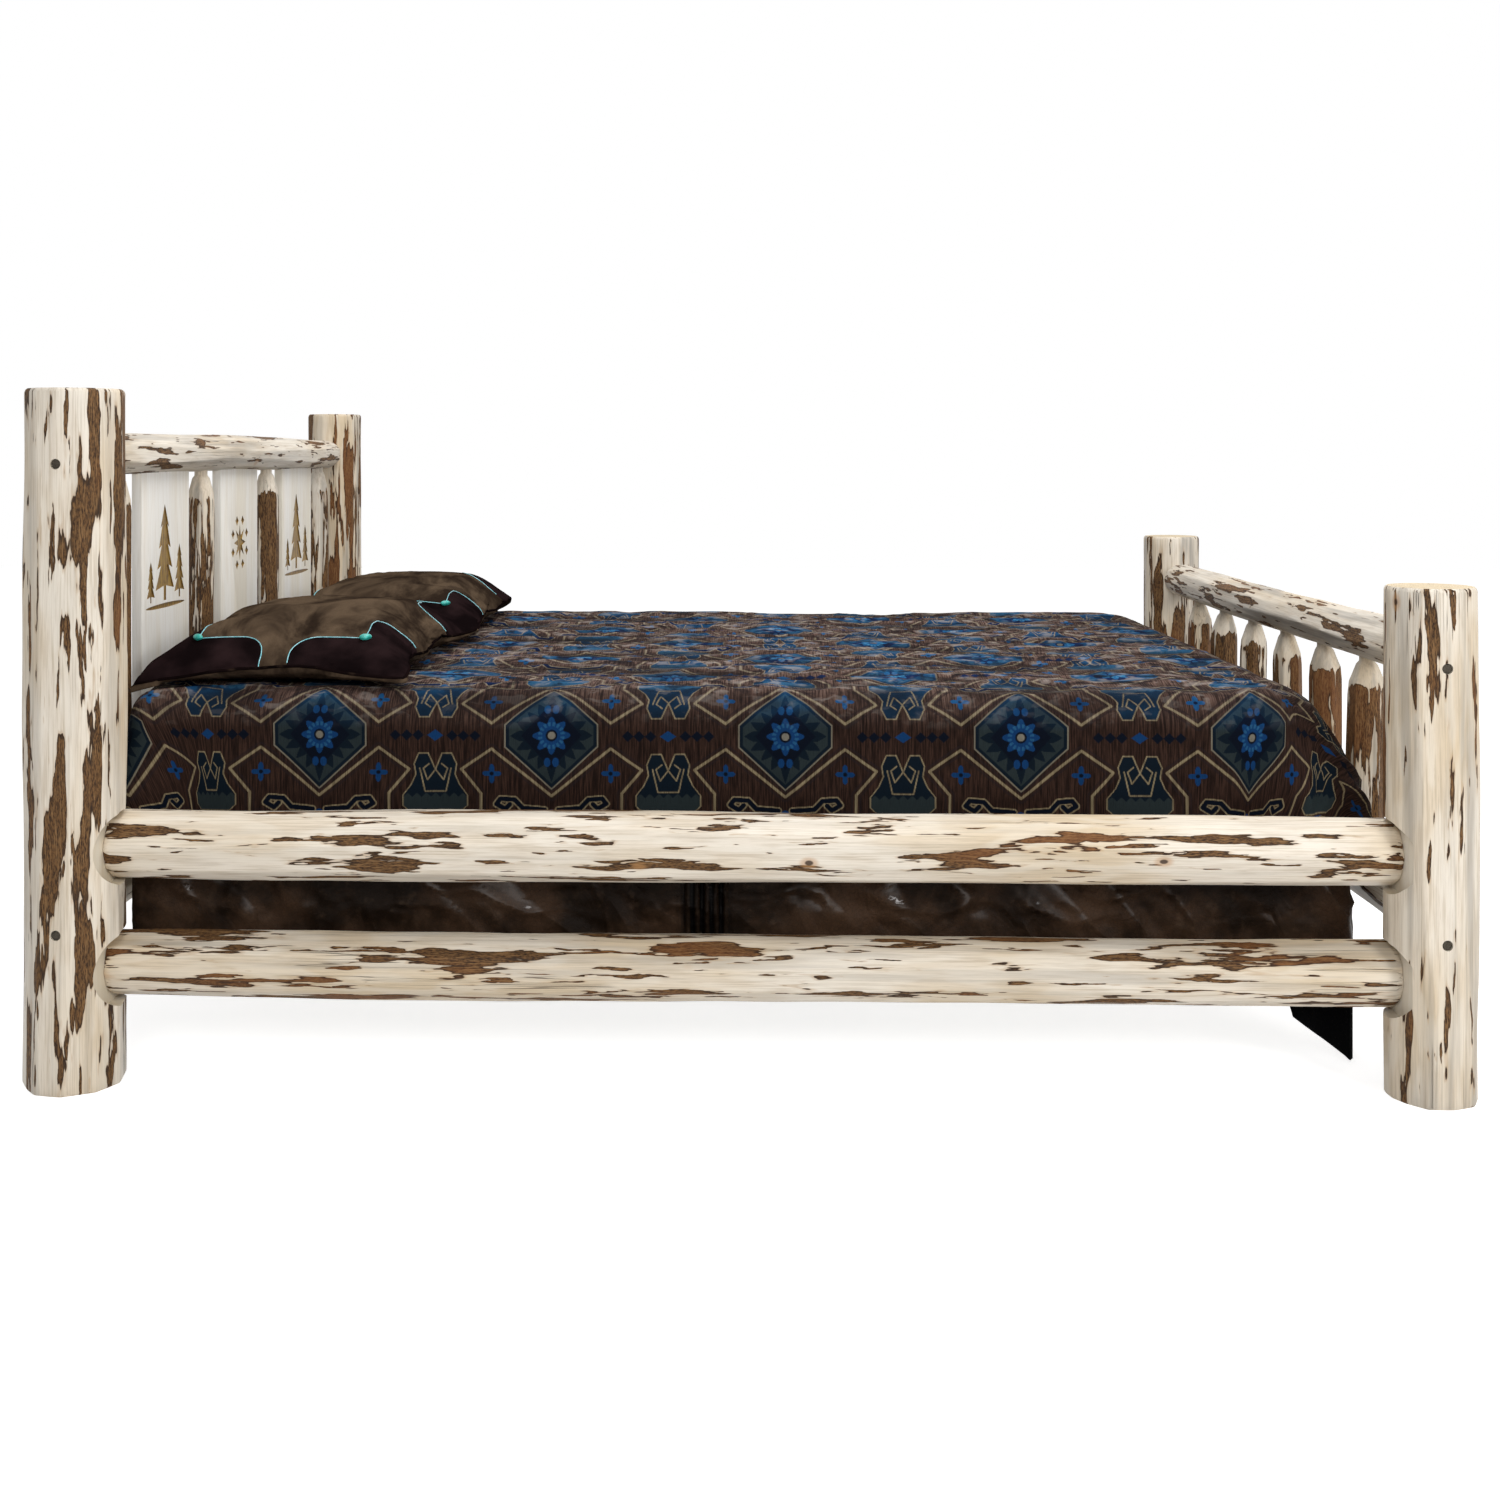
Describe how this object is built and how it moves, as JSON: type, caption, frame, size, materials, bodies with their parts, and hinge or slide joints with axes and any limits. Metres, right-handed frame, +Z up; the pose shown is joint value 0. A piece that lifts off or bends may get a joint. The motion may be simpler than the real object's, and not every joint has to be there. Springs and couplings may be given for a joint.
{
  "type": "log bed",
  "caption": "Rustic bed of hand-hewn peeled logs with a spindle-and-panel headboard, a spindle footboard, double side rails and full bedding.",
  "frame": {"origin": "on the floor, under the middle of the bed's bounding box", "axes": "+X from the headboard to the footboard, +Y from the near side to the far side, +Z up"},
  "size_m": [2.415, 1.894, 1.165],
  "materials": {
    "peeled_log": "skip-peeled softwood log with brown inner bark left in streaks, clear satin lacquer",
    "panel_board": "planed pine board, clear satin, with a burnt engraving",
    "sawn_pine": "sawn and planed construction pine",
    "zinc_steel": "zinc-plated fasteners",
    "ticking": "quilted white ticking",
    "spread_cloth": "woven bedspread, brown, black and blue geometric figures with cream outlines",
    "skirt_leather": "dark brown glazed leather",
    "pillow_suede": "dark brown suede",
    "pillow_leather": "smooth dark plum leather",
    "turquoise": "turquoise cord and polished beads"
  },
  "bodies": {
    "bed": {"head_post_near": "peeled_log", "head_post_far": "peeled_log", "foot_post_near": "peeled_log", "foot_post_far": "peeled_log", "head_top_rail": "peeled_log", "head_bottom_rail": "peeled_log", "foot_top_rail": "peeled_log", "foot_bottom_rail": "peeled_log", "side_rail_near_upper": "peeled_log", "side_rail_near_lower": "peeled_log", "side_rail_far_upper": "peeled_log", "side_rail_far_lower": "peeled_log", "head_spindle_1": "peeled_log", "head_spindle_2": "peeled_log", "head_spindle_3": "peeled_log", "head_spindle_4": "peeled_log", "foot_spindle_1": "peeled_log", "foot_spindle_2": "peeled_log", "foot_spindle_3": "peeled_log", "foot_spindle_4": "peeled_log", "foot_spindle_5": "peeled_log", "foot_spindle_6": "peeled_log", "head_panel_1": "panel_board", "head_panel_2": "panel_board", "head_panel_3": "panel_board", "ledger_near": "sawn_pine", "ledger_far": "sawn_pine", "slat_1": "sawn_pine", "slat_2": "sawn_pine", "slat_3": "sawn_pine", "slat_4": "sawn_pine", "slat_5": "sawn_pine", "centre_leg_1": "sawn_pine", "centre_leg_2": "sawn_pine", "centre_leg_3": "sawn_pine", "bed_bolts": "zinc_steel", "bolt_washers": "zinc_steel", "barrel_nuts": "zinc_steel", "tenon_lags": "zinc_steel", "ledger_screws": "zinc_steel", "slat_screws": "zinc_steel", "leg_screws": "zinc_steel", "box_spring": "ticking", "mattress": "ticking", "bedspread": "spread_cloth", "bed_skirt": "skirt_leather"},
    "pillow_near": {"pillow_near": "pillow_suede"},
    "pillow_far": {"pillow_far": "pillow_suede"}
  },
  "joints": [
    {"name": "pillow_near_lift", "type": "slide", "parent": "bed", "child": "pillow_near", "axis": [0.5, 0, 0.866], "range_m": [0, 0.3]},
    {"name": "pillow_far_lift", "type": "slide", "parent": "bed", "child": "pillow_far", "axis": [0.5, 0, 0.866], "range_m": [0, 0.3]}
  ]
}
